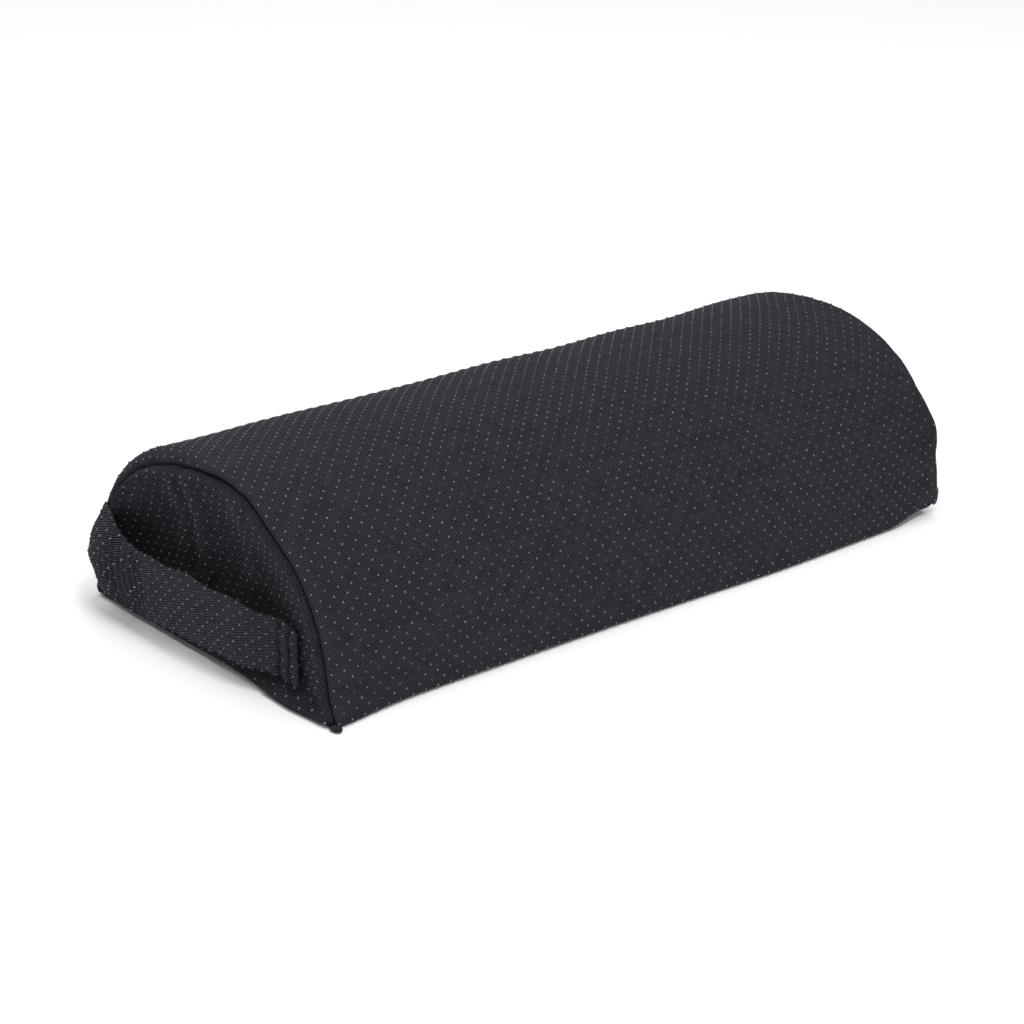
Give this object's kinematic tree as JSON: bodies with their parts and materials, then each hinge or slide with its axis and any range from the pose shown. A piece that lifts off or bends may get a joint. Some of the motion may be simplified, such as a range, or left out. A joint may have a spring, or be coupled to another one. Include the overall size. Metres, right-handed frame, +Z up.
{
  "type": "half-round bolster pillow",
  "caption": "Half-round foam bolster pillow in a zipped non-slip grip-dot cover, with a fabric carry strap on one end.",
  "frame": {"origin": "middle of the flat base", "axes": "+X along the bolster away from the strap end, +Y to the zipped back, +Z up"},
  "size_m": [0.419, 0.1993, 0.097],
  "materials": {
    "cover_fabric": "matte",
    "strap_fabric": "matte",
    "foam": "matte",
    "liner_cloth": "matte",
    "zip_tape": "matte",
    "zip_coil": "satin",
    "zip_metal": "satin",
    "thread": "satin"
  },
  "bodies": {
    "bolster": {"foam_core": "foam", "foam_liner": "liner_cloth", "wrap_panel": "cover_fabric", "end_panel_left": "cover_fabric", "end_panel_right": "cover_fabric", "end_overlock_left": "thread", "end_overlock_right": "thread", "strap_tab_front": "strap_fabric", "strap_stitches": "thread", "strap_tab_back": "strap_fabric", "zip_tape_upper": "zip_tape", "zip_tape_lower": "zip_tape", "zip_coil_upper": "zip_coil", "zip_coil_lower": "zip_coil", "zip_top_stops": "zip_metal", "zip_bottom_stop": "zip_metal", "zip_stitch_upper": "thread", "zip_stitch_lower": "thread"},
    "strap": {"strap_grip": "strap_fabric"},
    "slider": {"zip_slider": "zip_metal"},
    "pull": {"zip_pull": "zip_metal"}
  },
  "joints": [
    {"name": "strap_pull", "type": "slide", "parent": "bolster", "child": "strap", "axis": [-1, 0, 0], "range_m": [0, 0.018]},
    {"name": "zip_run", "type": "slide", "parent": "bolster", "child": "slider", "axis": [-1, 0, 0], "range_m": [0, 0.332]},
    {"name": "pull_swing", "type": "hinge", "parent": "slider", "child": "pull", "pos_m": [0.166, 0.0994, 0.01835], "axis": [0, 0.1253, -0.9921], "range_deg": [0, 175]}
  ]
}
